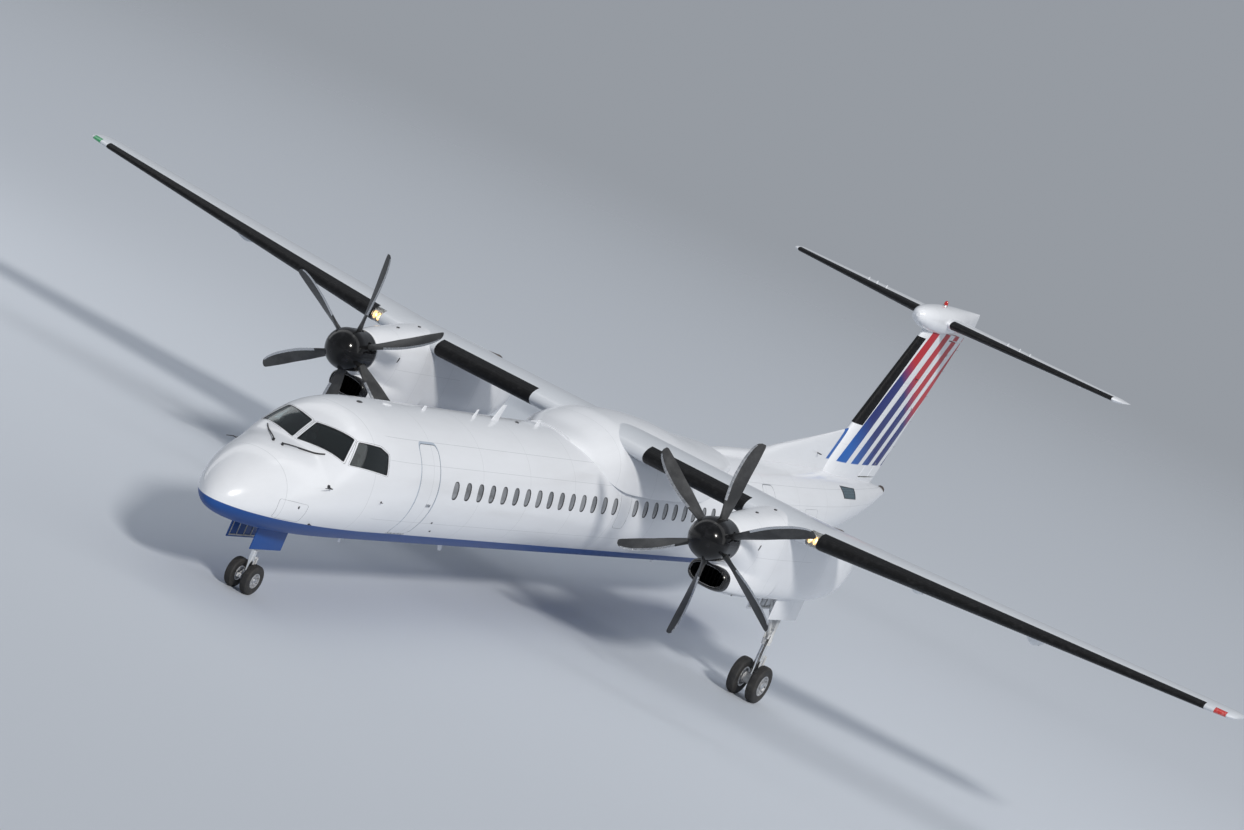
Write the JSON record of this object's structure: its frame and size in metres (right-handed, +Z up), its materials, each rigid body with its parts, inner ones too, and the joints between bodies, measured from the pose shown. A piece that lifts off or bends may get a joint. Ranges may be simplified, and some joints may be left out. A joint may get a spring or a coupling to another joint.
{
  "type": "turboprop airliner",
  "caption": "High-wing regional airliner with propellers on wing nacelles, a tall swept fin and T-tail, standing on tricycle gear.",
  "frame": {"origin": "on the ground, under the middle of the overall length, on the centreline", "axes": "+X to port, +Y aft so that the nose points along -Y, +Z up"},
  "size_m": [28.42, 32.83, 8.34],
  "materials": {
    "white_paint": "glossy aircraft paint, white with blue belly band",
    "white_composite": "glossy white over moulded composite, slanted coloured bands on the fin",
    "lamp_glass": "clear moulded lamp cover",
    "boot_rubber": "smooth black de-icing boot",
    "cockpit_glass": "dark tinted glazing",
    "cabin_trim": "matt grey trim",
    "blade_composite": "satin dark grey composite",
    "spinner_black": "glossy black",
    "gear_paint": "light grey enamel",
    "wheel_alloy": "satin machined",
    "tyre": "matt black rubber",
    "engine_metal": "dull metal"
  },
  "bodies": {
    "airframe": {"nose_section": "white_paint", "centre_fuselage": "white_paint", "aft_fuselage": "white_paint", "wing_fairing": "white_composite", "flight_deck": "cabin_trim", "wing_centre_section": "white_paint", "outer_wing_left": "white_paint", "outer_wing_right": "white_paint", "deice_boot_centre_left": "boot_rubber", "deice_boot_centre_right": "boot_rubber", "deice_boot_outer_left": "boot_rubber", "deice_boot_outer_right": "boot_rubber", "landing_light_left": "lamp_glass", "landing_light_right": "lamp_glass", "fin": "white_composite", "deice_boot_fin": "boot_rubber", "tailplane": "white_composite", "tail_bullet": "white_composite", "deice_boot_tail_left": "boot_rubber", "deice_boot_tail_right": "boot_rubber", "windshield_left": "cockpit_glass", "windshield_right": "cockpit_glass", "side_window_left": "cockpit_glass", "side_window_right": "cockpit_glass", "nacelle_left": "white_paint", "nacelle_right": "white_paint", "engine_left": "engine_metal", "engine_right": "engine_metal", "main_leg_left": "gear_paint", "main_leg_right": "gear_paint", "nose_leg": "gear_paint"},
    "propeller_left": {"propeller_left": "blade_composite", "spinner_left": "spinner_black"},
    "main_wheels_left": {"main_hub_left_outer": "wheel_alloy", "main_hub_left_inner": "wheel_alloy", "main_tyre_left_outer": "tyre", "main_tyre_left_inner": "tyre"},
    "propeller_right": {"propeller_right": "blade_composite", "spinner_right": "spinner_black"},
    "main_wheels_right": {"main_hub_right_outer": "wheel_alloy", "main_hub_right_inner": "wheel_alloy", "main_tyre_right_outer": "tyre", "main_tyre_right_inner": "tyre"},
    "nose_steering": {"nose_fork": "gear_paint"},
    "nose_wheels": {"nose_hub_left": "wheel_alloy", "nose_hub_right": "wheel_alloy", "nose_tyre_left": "tyre", "nose_tyre_right": "tyre"},
    "airstair_door": {"airstair_door": "white_paint"},
    "flap_inner_left": {"flap_inner_left": "white_paint"},
    "flap_inner_right": {"flap_inner_right": "white_paint"},
    "flap_outer_left": {"flap_outer_left": "white_paint"},
    "flap_outer_right": {"flap_outer_right": "white_paint"},
    "aileron_left": {"aileron_left": "white_paint"},
    "aileron_right": {"aileron_right": "white_paint"},
    "elevator_left": {"elevator_left": "white_composite"},
    "elevator_right": {"elevator_right": "white_composite"},
    "rudder_fore": {"rudder_fore": "white_composite"},
    "rudder_trailing": {"rudder_trailing": "white_composite"}
  },
  "joints": [
    {"name": "propeller_left_spin", "type": "hinge", "parent": "airframe", "child": "propeller_left", "pos_m": [4.4, -5.265, 3.42], "axis": [0, -1, 0], "continuous": true},
    {"name": "propeller_right_spin", "type": "hinge", "parent": "airframe", "child": "propeller_right", "pos_m": [-4.4, -5.265, 3.42], "axis": [0, -1, 0], "continuous": true},
    {"name": "main_wheels_left_roll", "type": "hinge", "parent": "airframe", "child": "main_wheels_left", "pos_m": [4.4, -0.125, 0.405], "axis": [1, 0, 0], "continuous": true},
    {"name": "main_wheels_right_roll", "type": "hinge", "parent": "airframe", "child": "main_wheels_right", "pos_m": [-4.4, -0.125, 0.405], "axis": [1, 0, 0], "continuous": true},
    {"name": "nose_steering", "type": "hinge", "parent": "airframe", "child": "nose_steering", "pos_m": [0, -14.065, 0.6], "axis": [0, 0, 1], "range_deg": [-70, 70]},
    {"name": "nose_wheels_roll", "type": "hinge", "parent": "nose_steering", "child": "nose_wheels", "pos_m": [0, -14.065, 0.28], "axis": [1, 0, 0], "continuous": true},
    {"name": "airstair_hinge", "type": "hinge", "parent": "airframe", "child": "airstair_door", "pos_m": [1.046, -11.35, 1.703], "axis": [0, 1, 0], "range_deg": [0, 125]},
    {"name": "flap_inner_left_hinge", "type": "hinge", "parent": "airframe", "child": "flap_inner_left", "pos_m": [1.64, -1.044, 3.6126], "axis": [-1, 0, 0], "range_deg": [0, 35]},
    {"name": "flap_inner_right_hinge", "type": "hinge", "parent": "airframe", "child": "flap_inner_right", "pos_m": [-1.64, -1.044, 3.6126], "axis": [-1, 0, 0], "range_deg": [0, 35]},
    {"name": "flap_outer_left_hinge", "type": "hinge", "parent": "airframe", "child": "flap_outer_left", "pos_m": [5.03, -1.0437, 3.6142], "axis": [-0.9984, -0.0113, -0.0551], "range_deg": [0, 35]},
    {"name": "flap_outer_right_hinge", "type": "hinge", "parent": "airframe", "child": "flap_outer_right", "pos_m": [-5.03, -1.0437, 3.6142], "axis": [-0.9984, 0.0113, 0.0551], "range_deg": [0, 35]},
    {"name": "aileron_left_hinge", "type": "hinge", "parent": "airframe", "child": "aileron_left", "pos_m": [9.99, -0.9874, 4.238], "axis": [-0.9984, -0.0113, -0.0551], "range_deg": [-17, 17]},
    {"name": "aileron_right_hinge", "type": "hinge", "parent": "airframe", "child": "aileron_right", "pos_m": [-9.99, -0.9874, 4.238], "axis": [-0.9984, 0.0113, 0.0551], "range_deg": [-17, 17]},
    {"name": "elevator_left_hinge", "type": "hinge", "parent": "airframe", "child": "elevator_left", "pos_m": [0.42, 14.9239, 7.87], "axis": [-0.9908, -0.1351, 0], "range_deg": [-22, 18]},
    {"name": "elevator_right_hinge", "type": "hinge", "parent": "airframe", "child": "elevator_right", "pos_m": [-0.42, 14.9239, 7.87], "axis": [-0.9908, 0.1351, 0], "range_deg": [-22, 18]},
    {"name": "rudder_fore_hinge", "type": "hinge", "parent": "airframe", "child": "rudder_fore", "pos_m": [0, 12.7936, 3.7], "axis": [0, 0.4845, 0.8748], "range_deg": [-18, 18]},
    {"name": "rudder_trailing_hinge", "type": "hinge", "parent": "rudder_fore", "child": "rudder_trailing", "pos_m": [0, 13.5609, 3.7], "axis": [0, 0.4521, 0.8919], "range_deg": [-18, 18]}
  ],
  "couplings": [
    {"joint": "flap_inner_right_hinge", "follows": "flap_inner_left_hinge", "ratio": 1},
    {"joint": "flap_outer_left_hinge", "follows": "flap_inner_left_hinge", "ratio": 1},
    {"joint": "flap_outer_right_hinge", "follows": "flap_inner_left_hinge", "ratio": 1},
    {"joint": "aileron_right_hinge", "follows": "aileron_left_hinge", "ratio": -1},
    {"joint": "elevator_right_hinge", "follows": "elevator_left_hinge", "ratio": 1},
    {"joint": "rudder_trailing_hinge", "follows": "rudder_fore_hinge", "ratio": 1}
  ]
}
